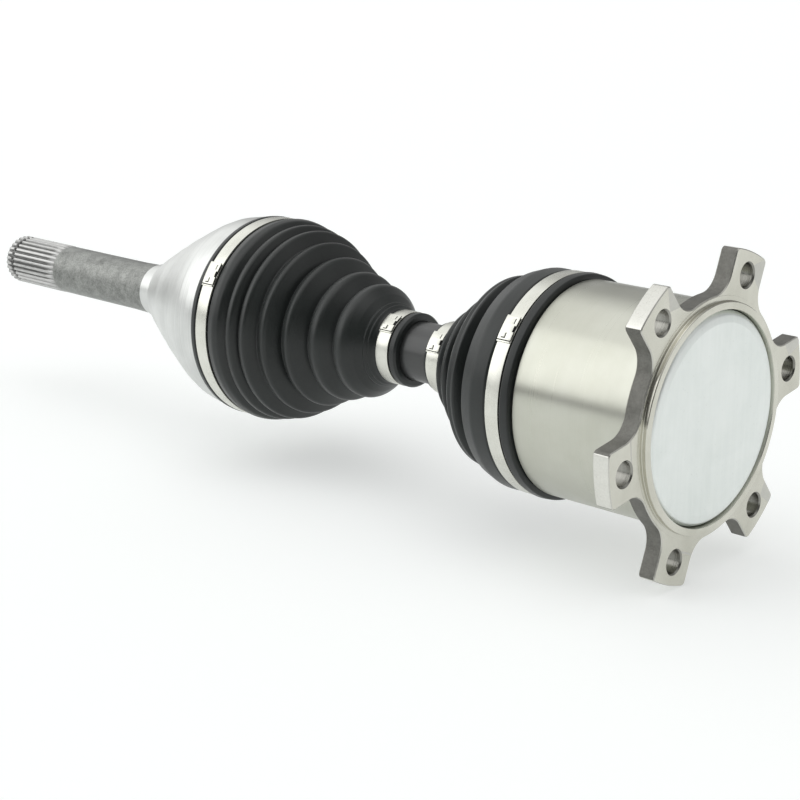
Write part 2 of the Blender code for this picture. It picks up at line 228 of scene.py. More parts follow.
class Surface:
    """A Principled material under construction: layers of noise drive its colour, roughness and relief."""

    def __init__(self, name, metallic, constants=()):
        self.material = bpy.data.materials.new(name)
        self.material.use_nodes = True
        self.nodes = self.material.node_tree.nodes
        self.links = self.material.node_tree.links
        self.shader = self.nodes["Principled BSDF"]
        self.shader.inputs["Metallic"].default_value = metallic
        for socket, value in constants:
            self.shader.inputs[socket].default_value = value
        self.place = self.nodes.new("ShaderNodeTexCoord").outputs["Object"]
        self.relief = None

    def noise(self, scale, stretch=(1, 1, 1), detail=3.0, rough=0.55, distortion=0.0):
        """Noise with this many cells a metre, stretched by these factors along X, Y and Z."""
        mapping = self.nodes.new("ShaderNodeMapping")
        mapping.inputs["Scale"].default_value = stretch
        texture = self.nodes.new("ShaderNodeTexNoise")
        texture.inputs["Scale"].default_value = scale
        texture.inputs["Detail"].default_value = detail
        texture.inputs["Roughness"].default_value = rough
        texture.inputs["Distortion"].default_value = distortion
        self.links.new(self.place, mapping.inputs["Vector"])
        self.links.new(mapping.outputs[0], texture.inputs["Vector"])
        return texture.outputs["Fac"]

    def ramp(self, value, *stops):
        """Colours or levels at positions along a value."""
        node = self.nodes.new("ShaderNodeValToRGB")
        elements = node.color_ramp.elements
        while len(elements) < len(stops):
            elements.new(0.5)
        for element, (place, colour) in zip(elements, stops):
            element.position = place
            element.color = (*colour, 1) if isinstance(colour, tuple) else (colour, colour, colour, 1)
        self.links.new(value, node.inputs[0])
        return node.outputs["Color"]

    def mix(self, share, first, second, mode="MIX"):
        node = self.nodes.new("ShaderNodeMix")
        node.data_type = "RGBA"
        node.blend_type = mode
        for socket, value in ((node.inputs[0], share), (node.inputs[6], first), (node.inputs[7], second)):
            if isinstance(value, bpy.types.NodeSocket):
                self.links.new(value, socket)
            else:
                socket.default_value = (*value, 1) if isinstance(value, tuple) else value
        return node.outputs[2]

    def colour(self, value):
        self.links.new(value, self.shader.inputs["Base Color"])

    def roughness(self, value):
        self.links.new(value, self.shader.inputs["Roughness"])

    def bump(self, height, distance, strength=1.0):
        """Relief of this depth in millimetres, on top of what is there."""
        node = self.nodes.new("ShaderNodeBump")
        node.inputs["Distance"].default_value = distance * MM
        node.inputs["Strength"].default_value = strength
        self.links.new(height, node.inputs["Height"])
        if self.relief:
            self.links.new(self.relief, node.inputs["Normal"])
        self.relief = node.outputs[0]
        self.links.new(self.relief, self.shader.inputs["Normal"])

    def round_the_axle(self, amount):
        """Stretches highlights across the fine turning marks that run round the axle."""
        tangent = self.nodes.new("ShaderNodeTangent")
        tangent.direction_type = "RADIAL"
        tangent.axis = "X"
        self.links.new(tangent.outputs[0], self.shader.inputs["Tangent"])
        self.shader.inputs["Anisotropic"].default_value = amount
        self.shader.inputs["Anisotropic Rotation"].default_value = 0.25  # a quarter turn, from round it to along it


def turned_metal(name, dark, light, roughness, marks=0.5, bands=90, stretch=0.35, relief=0.012, clouds=40):
    """Lathe-turned metal: fine rings, broader feed bands and faint clouding; a little rougher between rings."""
    made = Surface(name, 1.0)
    rings = made.noise(2600, (1, 0.004, 0.004), detail=2)
    feed = made.noise(bands, (1, 0.05, 0.05), detail=4)
    cloud = made.noise(clouds, detail=4)
    tone = made.ramp(cloud, (0.3, dark), (0.7, light))
    tone = made.mix(marks * 0.5, tone, made.ramp(feed, (0.3, dark), (0.7, light)))
    tone = made.mix(marks * 0.35, tone, made.ramp(rings, (0.35, 0.35), (0.65, 1.0)), "MULTIPLY")
    made.colour(tone)
    low, high = roughness
    made.roughness(made.ramp(made.mix(0.5, rings, feed), (0.3, low), (0.7, high)))
    made.bump(rings, relief)
    made.round_the_axle(stretch)
    return made.material


def mottled_metal(name, dark, light, roughness, grain=900, blotch=60, relief=0.03, metallic=1.0):
    """Rolled, forged or blasted metal: blotches, a fine grain, and pits."""
    made = Surface(name, metallic)
    blotches = made.noise(blotch, detail=6, rough=0.65)
    fine = made.noise(grain, detail=3)
    tone = made.ramp(made.mix(0.45, blotches, fine), (0.32, dark), (0.68, light))
    made.colour(tone)
    low, high = roughness
    made.roughness(made.ramp(made.mix(0.6, blotches, fine), (0.35, low), (0.65, high)))
    made.bump(fine, relief)
    return made.material


def boot_rubber():
    """Satin moulded rubber: charcoal, with a faint bloom in patches, rubbed streaks and a fine moulded grain."""
    made = Surface("boot_rubber", 0.0, [("Specular IOR Level", 0.50), ("Sheen Weight", 0.06)])
    bloom = made.noise(30, detail=6, rough=0.65)
    grain = made.noise(1300, detail=3)
    smear = made.noise(150, (1, 0.25, 0.25), detail=5, rough=0.65)
    dark, light = (0.0055, 0.0078, 0.0072), (0.018, 0.023, 0.0215)
    tone = made.ramp(made.mix(0.45, bloom, smear), (0.32, dark), (0.68, light))
    tone = made.mix(0.35, tone, made.ramp(grain, (0.35, 0.55), (0.65, 1.0)), "MULTIPLY")
    made.colour(tone)
    made.roughness(made.ramp(made.mix(0.5, bloom, grain), (0.32, 0.30), (0.68, 0.46)))
    made.bump(grain, 0.022)
    made.bump(smear, 0.10)
    return made.material


def shaft_paint():
    """Dip-painted bar: charcoal with a soft sheen, faint runs along it and dust in the coat."""
    made = Surface("shaft_paint", 0.0, [("Coat Weight", 0.5), ("Coat Roughness", 0.24)])
    runs = made.noise(60, (0.15, 1, 1), detail=4)
    dust = made.noise(1200, detail=2)
    dark, light = (0.018, 0.0195, 0.019), (0.033, 0.035, 0.0343)
    made.colour(made.ramp(made.mix(0.35, runs, dust), (0.3, dark), (0.7, light)))
    made.roughness(made.ramp(dust, (0.3, 0.34), (0.7, 0.48)))
    made.bump(dust, 0.012)
    made.bump(runs, 0.05)
    return made.material


def zinc_cap():
    """Pale zinc plate on pressed steel: cool, cloudy and almost matt, with faint drawing marks."""
    made = Surface("zinc_cap", 0.82)
    clouds = made.noise(34, detail=6, rough=0.62, distortion=0.4)
    drawn = made.noise(420, (1, 1, 0.06), detail=3)
    spots = made.noise(700, detail=1)
    tone = made.ramp(clouds, (0.3, (0.77, 0.81, 0.785)), (0.7, (0.89, 0.92, 0.90)))
    tone = made.mix(0.18, tone, made.ramp(drawn, (0.3, (0.68, 0.72, 0.70)), (0.7, (0.92, 0.94, 0.925))))
    tone = made.mix(0.5, tone, made.ramp(spots, (0.70, 1.0), (0.78, 0.86)), "MULTIPLY")
    made.colour(tone)
    made.roughness(made.ramp(made.mix(0.4, clouds, drawn), (0.3, 0.36), (0.7, 0.50)))
    made.bump(clouds, 0.08)
    made.bump(drawn, 0.01)
    return made.material


def band_steel():
    """Bright rolled stainless strip, brushed along its length, with light scuffs."""
    made = Surface("band_steel", 1.0)
    strip = made.noise(3200, (1, 0.02, 0.02), detail=2)
    scuffs = made.noise(120, detail=5, rough=0.6)
    tone = made.ramp(scuffs, (0.3, (0.66, 0.66, 0.60)), (0.7, (0.75, 0.75, 0.69)))
    made.colour(made.mix(0.10, tone, made.ramp(strip, (0.35, 0.6), (0.65, 1.0)), "MULTIPLY"))
    made.roughness(made.ramp(made.mix(0.6, strip, scuffs), (0.3, 0.24), (0.7, 0.33)))
    made.bump(strip, 0.002)
    return made.material


def spline_steel():
    """Hobbed teeth: bright on the lands, darker towards the roots."""
    made = Surface("spline_steel", 1.0)
    across = made.nodes.new("ShaderNodeVectorMath")
    across.operation = "MULTIPLY"
    across.inputs[1].default_value = (0, 1 / MM, 1 / MM)
    made.links.new(made.place, across.inputs[0])
    length = made.nodes.new("ShaderNodeVectorMath")
    length.operation = "LENGTH"
    made.links.new(across.outputs[0], length.inputs[0])
    root_r, land_r = 12.4, 14.0
    depth = made.nodes.new("ShaderNodeMapRange")
    depth.inputs["From Min"].default_value = root_r
    depth.inputs["From Max"].default_value = land_r
    made.links.new(length.outputs["Value"], depth.inputs["Value"])
    grain = made.noise(900, (0.25, 1, 1), detail=4)
    land = made.ramp(grain, (0.3, (0.42, 0.42, 0.41)), (0.7, (0.60, 0.60, 0.59)))
    root = made.ramp(grain, (0.3, (0.10, 0.10, 0.10)), (0.7, (0.20, 0.20, 0.195)))
    made.colour(made.mix(depth.outputs["Result"], root, land))
    made.roughness(made.ramp(grain, (0.3, 0.30), (0.7, 0.46)))
    made.bump(grain, 0.03)
    return made.material


RUBBER = boot_rubber()
BAND = band_steel()
BARREL = turned_metal(
    "barrel_steel", (0.52, 0.525, 0.455), (0.59, 0.595, 0.53), (0.26, 0.34), 0.12, stretch=0.8, relief=0.002
)
PILOT = turned_metal("faced_ring", (0.55, 0.54, 0.47), (0.70, 0.69, 0.62), (0.16, 0.26), 0.35, 160, 0.7, 0.006)
FACE = mottled_metal("milled_face", (0.49, 0.485, 0.445), (0.61, 0.605, 0.565), (0.30, 0.42), 1100, relief=0.006)
SIDES = mottled_metal("forged_side", (0.11, 0.109, 0.098), (0.25, 0.247, 0.227), (0.44, 0.62), 1100, 150, 0.07, 0.85)
TIPS = mottled_metal("milled_tip", (0.60, 0.60, 0.555), (0.74, 0.735, 0.69), (0.26, 0.36), 1100, relief=0.006)
DRILLED = turned_metal("drilled_hole", (0.20, 0.198, 0.178), (0.46, 0.455, 0.42), (0.22, 0.36), 0.9, relief=0.05)
BELL = turned_metal("bell_steel", (0.62, 0.63, 0.615), (0.80, 0.81, 0.795), (0.32, 0.44), 0.5, 55, 0.5, 0.004)
STUB = mottled_metal(
    "heat_treated_stub", (0.11, 0.113, 0.108), (0.40, 0.41, 0.39), (0.34, 0.52), 1150, 190, 0.03, 0.95
)
INNER = turned_metal("bored_steel", (0.30, 0.30, 0.30), (0.42, 0.42, 0.42), (0.3, 0.45))
GROUND = mottled_metal("ground_steel", (0.50, 0.51, 0.53), (0.62, 0.63, 0.65), (0.12, 0.22), 1500, 80, 0.004)
SPRING = mottled_metal("oiled_spring_steel", (0.10, 0.10, 0.11), (0.22, 0.22, 0.24), (0.28, 0.42), 1200, 120, 0.01)
PAINT = shaft_paint()
CAP = zinc_cap()
SPLINE_STEEL = spline_steel()
DARK = mottled_metal("band_shadow", (0.02, 0.02, 0.02), (0.05, 0.05, 0.05), (0.5, 0.7))


# ---------------------------------------------------------------- shapes


def rounded(points, count=5):
    """Turns a profile of (station, radius, fillet) into (station, radius), with this many points to a fillet."""
    made = []
    for i, (station, radius, fillet) in enumerate(points):
        here = Vector((station, radius))
        if not fillet or i in (0, len(points) - 1):
            made.append(here)
            continue
        back = Vector(points[i - 1][:2]) - here
        on = Vector(points[i + 1][:2]) - here
        half = back.angle(on) / 2
        cut = min(fillet / math.tan(half), 0.48 * back.length, 0.48 * on.length)
        first, last = here + back.normalized() * cut, here + on.normalized() * cut
        for k in range(count):
            t = k / (count - 1)
            made.append(first * (1 - t) ** 2 + here * 2 * t * (1 - t) + last * t * t)
    return [tuple(point) for point in made]


def finish_mesh(name, bm, look, sharp=32):
    bmesh.ops.remove_doubles(bm, verts=bm.verts, dist=1e-7)
    bmesh.ops.recalc_face_normals(bm, faces=bm.faces)
    mesh = bpy.data.meshes.new(name)
    bm.to_mesh(mesh)
    bm.free()
    mesh.shade_smooth()
    mesh.set_sharp_from_angle(angle=math.radians(sharp))
    made = bpy.data.objects.new(name, mesh)
    bpy.context.scene.collection.objects.link(made)
    mesh.materials.append(look)
    return made


def turned(name, section, look, steps=STEPS):
    """A closed section of (station, radius) turned about the axle."""
    bm = bmesh.new()
    angles = [math.tau * i / steps for i in range(steps)]
    rings = []
    for station, radius in section:
        if radius < 1e-6:
            rings.append([bm.verts.new((at(station), 0, 0))] * steps)
            continue
        r = radius * MM
        rings.append([bm.verts.new((at(station), r * math.sin(a), r * math.cos(a))) for a in angles])
    for first, second in zip(rings, rings[1:] + rings[:1]):
        for i in range(steps):
            j = (i + 1) % steps
            corners = list(dict.fromkeys([first[i], first[j], second[j], second[i]]))
            if len(corners) > 2:
                bm.faces.new(corners)
    return finish_mesh(name, bm, look)


def applied(target):
    """Replaces an object's mesh by what its modifiers make of it."""
    bpy.context.view_layer.update()
    graph = bpy.context.evaluated_depsgraph_get()
    mesh = bpy.data.meshes.new_from_object(target.evaluated_get(graph))
    target.modifiers.clear()
    target.data = mesh
    return target


def cut(target, tools, operation="DIFFERENCE"):
    for tool in tools:
        modifier = target.modifiers.new(tool.name, "BOOLEAN")
        modifier.solver = "MANIFOLD"
        modifier.operation = operation
        modifier.object = tool
    applied(target)
    for tool in tools:
        bpy.data.objects.remove(tool)
    return target


def stacked(name, layers, look):
    """A solid through outlines of equal length: layers of (station, [(y, z), ...])."""
    bm = bmesh.new()
    rings = [[bm.verts.new((at(s), y * MM, z * MM)) for y, z in outline] for s, outline in layers]
    for first, second in zip(rings, rings[1:]):
        for i in range(len(first)):
            bm.faces.new((first[i - 1], first[i], second[i], second[i - 1]))
    bm.faces.new(rings[0])
    bm.faces.new(rings[-1])
    return finish_mesh(name, bm, look)


def arc(centre, radius, first, last, count):
    angles = [math.radians(first + (last - first) * i / (count - 1)) for i in range(count)]
    return [(centre[0] + radius * math.cos(a), centre[1] + radius * math.sin(a)) for a in angles]


def about_axis(outline, angle):
    """The (y, z) outline turned by an angle from +Z towards +Y."""
    c, s = math.cos(angle), math.sin(angle)
    return [(y * c + z * s, z * c - y * s) for y, z in outline]


def shrunk(outline, amount):
    """A clockwise outline moved inwards by an amount, corner by corner."""
    made = []
    for i, point in enumerate(outline):
        here = Vector(point)
        back = (here - Vector(outline[i - 1])).normalized()
        on = (Vector(outline[(i + 1) % len(outline)]) - here).normalized()
        inwards = Vector((back.y + on.y, -back.x - on.x))
        if inwards.length < 1e-9:
            inwards = Vector((back.y, -back.x))
        inwards.normalize()
        lean = max(0.5, inwards.dot(Vector((back.y, -back.x))))
        made.append(tuple(here + inwards * amount / lean))
    return made


Spot = namedtuple("Spot", "s r y z axial radial")  # a face's centre, in millimetres, and the lean of its normal


def paint(piece, rules):
    """Gives each face the first look whose test its spot passes."""
    looks = list(dict.fromkeys(look for look, _ in rules))
    piece.data.materials.clear()
    for look in looks:
        piece.data.materials.append(look)
    for face in piece.data.polygons:
        x, y, z = face.center
        radius = math.hypot(y, z)
        radial = (face.normal.y * y + face.normal.z * z) / max(radius, 1e-9)
        spot = Spot((FLANGE_X - x) / MM, radius / MM, y / MM, z / MM, face.normal.x, radial)
        for look, test in rules:
            if test(spot):
                face.material_index = looks.index(look)
                break


def smooth(piece, sharp=32):
    """Smooth shading with sharp edges; faces square to the axle stay flat, so that long ones show no gradient."""
    piece.data.shade_smooth()
    for face in piece.data.polygons:
        face.use_smooth = abs(face.normal.x) < 0.9999
    piece.data.set_sharp_from_angle(angle=math.radians(sharp))


def place(piece, body, slot, *stands_for):
    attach(piece, body)
    if stands_for:
        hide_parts(*stands_for)
    return piece


# ---------------------------------------------------------------- inner housing and its cap

BOLT_CIRCLE_R, LUGS, LUG_TURN = 65.0, 6, math.radians(21.5)
LUG_TIP_R, LUG_CORNER, LUG_HALF_WIDTH, LUG_ROOT_R, LUG_FILLET = 75.7, 2.2, 13.0, 55.5, 12.0
FLANGE = 8.5
PILOT_R, PILOT_HEIGHT, FACED_R = 52.6, 2.3, 54.9
HOLE_R, HOLE_CHAMFER = 5.5, 0.7
BARREL_R, BARREL_SEAT_R = 51.3, 49.8
BARREL_MOUTH = span("inner_housing")[1]
CAP_R = 48.7


def lug_outline():
    """Six lugs: tips on one circle, rounded corners, and a concave fillet down to the root circle on both sides."""
    across = LUG_HALF_WIDTH + LUG_FILLET
    out = math.sqrt((LUG_ROOT_R + LUG_FILLET) ** 2 - across**2)
    root = math.degrees(math.atan2(out, across))
    corner_across = LUG_HALF_WIDTH - LUG_CORNER
    corner_out = math.sqrt((LUG_TIP_R - LUG_CORNER) ** 2 - corner_across**2)
    corner = math.degrees(math.atan2(corner_out, corner_across))
    right = arc((0, 0), LUG_TIP_R, 89, corner, 5)
    right += arc((corner_across, corner_out), LUG_CORNER, corner, 0, 7)[1:]
    right += arc((across, out), LUG_FILLET, 180, 180 + root, 16)
    rest = arc((0, 0), LUG_ROOT_R, root, 60, 4)[1:]
    left = [(-y, z) for y, z in reversed(right)]
    before = [(-y, z) for y, z in reversed(rest)][1:]
    outline = []
    for i in range(LUGS):
        outline += about_axis(before + left + right + rest, LUG_TURN + i * math.tau / LUGS)
    return outline


def track_outline():
    """Three roller tracks as one trefoil: neighbouring tracks' sides meet between them."""
    half, depth, corner = 18.0, 39.5, 7.0
    track = [(-half, half / math.sqrt(3))]
    track += arc((corner - half, depth - corner), corner, 180, 90, 9)
    track += arc((half - corner, depth - corner), corner, 90, 0, 9)
    outline = []
    for i in range(3):
        outline += about_axis(track, i * math.tau / 3)
    return outline


def drill(name, y, z, section):
    tool = turned(name, section, DRILLED, 48)
    tool.data.transform(Matrix.Translation((0, y * MM, z * MM)))
    return tool


def make_inner_housing():
    section = [(-PILOT_HEIGHT, 0, 0), (-PILOT_HEIGHT, PILOT_R, 0.5), (-0.12, PILOT_R, 0.3), (-0.12, FACED_R, 0.06)]
    section += [(0.1, FACED_R, 0), (0.1, PILOT_R, 0), (4, BARREL_R + 1.4, 0), (FLANGE, BARREL_R + 1.4, 1.0)]
    section += [(FLANGE + 1.4, BARREL_R, 1.2), (70.6, BARREL_R, 0.35), (71, BARREL_SEAT_R, 0)]
    section += [(BARREL_MOUTH - 2, BARREL_SEAT_R, 0.8), (BARREL_MOUTH, BARREL_SEAT_R - 2, 0.5), (BARREL_MOUTH, 0, 0)]
    housing = turned("fine_inner_housing", rounded(section), BARREL)
    outline = lug_outline()
    front, back = 0.45, 0.6  # chamfers
    layers = [(0, shrunk(outline, front)), (front, outline)]
    layers += [(FLANGE - back, outline), (FLANGE, shrunk(outline, back))]
    cut(housing, [stacked("lug_plate", layers, FACE)], "UNION")
    recess = [(-4, 0), (-4, CAP_R + 1.1), (-PILOT_HEIGHT + 0.5, CAP_R + 0.35), (5, CAP_R + 0.35), (5, 0)]
    throat = [(4, 0), (4, 24), (68, 24), (BARREL_MOUTH - 1, 32), (BARREL_MOUTH + 1, 34), (BARREL_MOUTH + 1, 0)]
    tracks = stacked("tracks", [(3, track_outline()), (BARREL_MOUTH + 2, track_outline())], INNER)
    tools = [turned("cap_recess", recess, BARREL), turned("throat", throat, INNER), tracks]
    past = 3  # how far a drill reaches out of the flange
    wide = HOLE_R + HOLE_CHAMFER + past
    hole = [(-past, 0), (-past, wide), (HOLE_CHAMFER, HOLE_R), (FLANGE - HOLE_CHAMFER, HOLE_R)]
    hole += [(FLANGE + past, wide), (FLANGE + past, 0)]
    for i in range(LUGS):
        turn = LUG_TURN + i * math.tau / LUGS
        tools.append(drill(f"bolt_hole_{i}", BOLT_CIRCLE_R * math.sin(turn), BOLT_CIRCLE_R * math.cos(turn), hole))
    cut(housing, tools)
    smooth(housing)

    paint(
        housing,
        [
            (INNER, lambda f: f.r < CAP_R + 0.2 and f.s > 2.5),
            (PILOT, lambda f: f.r < FACED_R + 0.02 and f.s < 0.05),
            (DRILLED, lambda f: abs(f.axial) < 0.95 and in_a_bolt_hole(f)),
            (TIPS, lambda f: f.r > LUG_TIP_R - 2.2 and f.radial > 0.9),
            (FACE, lambda f: f.r > BARREL_R + 0.5 and f.s < FLANGE + 0.1 and abs(f.axial) > 0.5),
            (SIDES, lambda f: f.r > BARREL_R + 1.5 and f.s < FLANGE + 0.1),
            (BARREL, lambda f: True),
        ],
    )
    return place(housing, "root", "turned_steel", "inner_housing")


def in_a_bolt_hole(f):
    turn = math.atan2(f.y, f.z) - LUG_TURN
    across = BOLT_CIRCLE_R * 2 * math.sin((turn - round(turn / (math.tau / LUGS)) * math.tau / LUGS) / 2)
    return math.hypot(across, f.r - BOLT_CIRCLE_R) < HOLE_R + 1.1


def make_end_cap():
    """Pressed cap: its face bellies out by a hair, and its rim is rolled over."""
    face = span("end_cap")[0]
    section = [(face + 0.18, 0, 0), (face, 30, 8), (face, CAP_R - 5.4, 3), (face + 0.6, CAP_R - 1.7, 2.6)]
    section += [(face + 2.6, CAP_R, 2), (4.6, CAP_R, 0.3)]
    section += [(4.6, CAP_R - 2.4, 0.3), (0.3, CAP_R - 2.4, 0), (0.3, 0, 0)]
    cap = turned("fine_end_cap", rounded(section, 7), CAP)
    return place(cap, "root", "zinc_plate", "end_cap")


# ---------------------------------------------------------------- shaft, bell and stub


def make_shaft():
    low, high = span("axle_shaft")
    spline, groove, neck, bar = 12.0, 10.8, 12.5, 15.0
    section = [(low, 0, 0), (low, spline - 1, 0.3), (low + 1, spline, 0.3), (low + 1.7, spline, 0)]
    section += [(low + 1.7, groove, 0.3), (low + 3.7, groove, 0.3), (low + 3.7, spline, 0), (61.2, spline, 0)]
    section += [(61.2, groove, 0.3), (63.4, groove, 0.3), (63.4, neck, 0.3), (112, neck, 6), (126, bar, 6)]
    section += [(204, bar, 6), (222, neck, 6), (281, neck, 0.6), (283, spline, 0.6), (high - 3.3, spline, 0)]
    section += [(high - 3.3, groove, 0.3), (high - 1.3, groove, 0.3), (high - 1.3, spline, 0)]
    section += [(high - 0.8, spline, 0), (high, spline - 1, 0), (high, 0, 0)]
    shaft = turned("fine_shaft", rounded(section, 6), PAINT, 96)
    return place(shaft, "shaft", "shaft_paint", "axle_shaft")


OUTER_JOINT, BORE_R, BALL_PATH_R, GROOVE_R = 297, 34.8, 31, 10.9
STUB_R, TOOTH_R, TOOTH_ROOT_R, TEETH = 13.7, 14.0, 12.65, 28
SPLINE = (451.5, 495.4)
NECK_END = 369.4  # where the bell's turned surface stops on the stub


def tooth_outline(tip, root):
    """The spline across: each tooth rises from its root circle to its tip circle and back."""
    outline = []
    pitch = 360 / TEETH
    for i in range(TEETH):
        start = 90 - i * pitch
        middle = (tip + root) / 2
        flank = [(0.12, tip), (0.20, tip - 0.08), (0.30, middle), (0.43, root)]
        for share, radius in [(-share, radius) for share, radius in reversed(flank)] + flank:
            outline.append(arc((0, 0), radius, start - share * pitch, 0, 2)[0])
    return outline


def make_outer_housing():
    tip = span("outer_housing")[1]
    start, end = SPLINE
    section = [(267, 0, 0), (267, 48.4, 0.5), (268.5, 49.9, 0.6), (282.6, 49.9, 0.2)]
    section += [(283, 52.3, 0.5), (289, 52.0, 4), (296, 50.8, 5), (303.5, 48.0, 1.2)]
    section += [(312, 43.9, 6), (320, 39.8, 6), (325.2, 37.2, 0.1), (325.7, 36.5, 0.1)]
    section += [(336, 31.3, 6), (342, 27.9, 5), (348, 24.5, 3), (352.4, 21.9, 0.1), (352.8, 21.4, 0.1)]
    section += [(357.4, 18.7, 0.2), (358.6, 15.9, 0.3), (366.0, 15.3, 0.1), (366.4, 14.7, 0.1)]
    section += [(NECK_END - 0.3, 14.45, 0.1), (NECK_END, 14.1, 0.3)]
    section += [(384, STUB_R, 8), (448, STUB_R, 2)]
    section += [(start + 2.5, TOOTH_ROOT_R - 0.25, 2)]
    section += [(tip - 1.1, TOOTH_ROOT_R - 0.25, 0.4), (tip, 11.4, 0.3), (tip, 0, 0)]
    bell = turned("fine_outer_housing", rounded(section, 7), BELL)
    full, flat = tooth_outline(TOOTH_R, TOOTH_ROOT_R), tooth_outline(STUB_R - 0.35, STUB_R - 0.4)
    neck, low = tooth_outline(12.55, 12.5), tooth_outline(12.6, 12.3)
    layers = [(start - 2.5, flat), (start, tooth_outline(TOOTH_R - 0.05, STUB_R - 0.5)), (start + 5, full)]
    layers += [(487.2, full), (487.7, neck), (489.3, neck), (489.8, full), (end - 1.5, full), (end, low)]
    teeth = stacked("stub_spline", layers, SPLINE_STEEL)
    cut(bell, [teeth], "UNION")
    deepest = 36  # degrees from the axis at which the bore's sphere ends in a flat floor
    hollow = [(266, 0), (266, 42)] + arc((OUTER_JOINT, 0), BORE_R, 116, deepest, 22)
    hollow += [(OUTER_JOINT + BORE_R * math.cos(math.radians(deepest)), 0)]
    cut(bell, [turned("bell_hollow", hollow, INNER)] + [ball_groove(i) for i in range(6)])
    smooth(bell)
    paint(
        bell,
        [
            (INNER, lambda f: f.s < 340 and (f.radial < -0.05 or f.r < 48 and f.s < 300)),
            (SPLINE_STEEL, lambda f: f.s > start - 1.6),
            (STUB, lambda f: f.s > NECK_END - 0.1),
            (BELL, lambda f: True),
        ],
    )
    return place(bell, "stub", "bell_steel", "outer_housing")


def ball_groove(index):
    """The path of one ball in the bell: a round bar bent about the joint's centre."""
    rim = arc((0, BALL_PATH_R), GROOVE_R, 0, 345, 24)
    bm = bmesh.new()
    start = Matrix.Rotation(math.radians(-46), 4, "Y")
    face = bm.faces.new([bm.verts.new(start @ Vector((0, y * MM, z * MM))) for y, z in rim])
    bmesh.ops.spin(bm, geom=[face], cent=(0, 0, 0), axis=(0, 1, 0), angle=math.radians(98), steps=18)
    tool = finish_mesh(f"ball_groove_{index}", bm, INNER)
    turn = Matrix.Rotation(-index * math.tau / 6, 4, "X")
    tool.data.transform(Matrix.Translation((at(OUTER_JOINT), 0, 0)) @ turn)
    return tool


# ---------------------------------------------------------------- boots

BOOT_WALL = 2.0
BOOT_FILLET_POINTS = 7
LARGE_SEAT_R, CUFF_SEAT_R = 50.1, 15.3
LARGE_R, INNER_CUFF_R, OUTER_CUFF_R = 52.3, 17.1, 17.7
INNER_SPLITS = 105.8, 120.8  # valleys in which the inner boot's pieces meet


def make_boot(name, profile, seats, parts, node):
    """One bellows in three pieces, so that each bends across one joint only.

    seats: (from, to, radius), where the inside is a cylinder and does not follow the outside.
    parts: (end station, first body, second body, blend start, blend end). Neighbours share the profile's point
    that is nearest to their meeting station.
    """
    outside = rounded(profile, BOOT_FILLET_POINTS)

    def inner(point):
        for low, high, radius in seats:
            if low <= point[0] <= high:
                return point[0], radius
        return point[0], point[1] - BOOT_WALL

    opening = 0
    for i, (last, first, second, start, end) in enumerate(parts):
        closing = min(range(len(outside)), key=lambda k: abs(outside[k][0] - last))
        outline = outside[opening : closing + 1]
        section = outline + [inner(p) for p in reversed(outline)]
        piece = turned(f"{name}_{i + 1}", section, RUBBER)
        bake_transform(piece)
        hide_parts(node)
        opening = closing


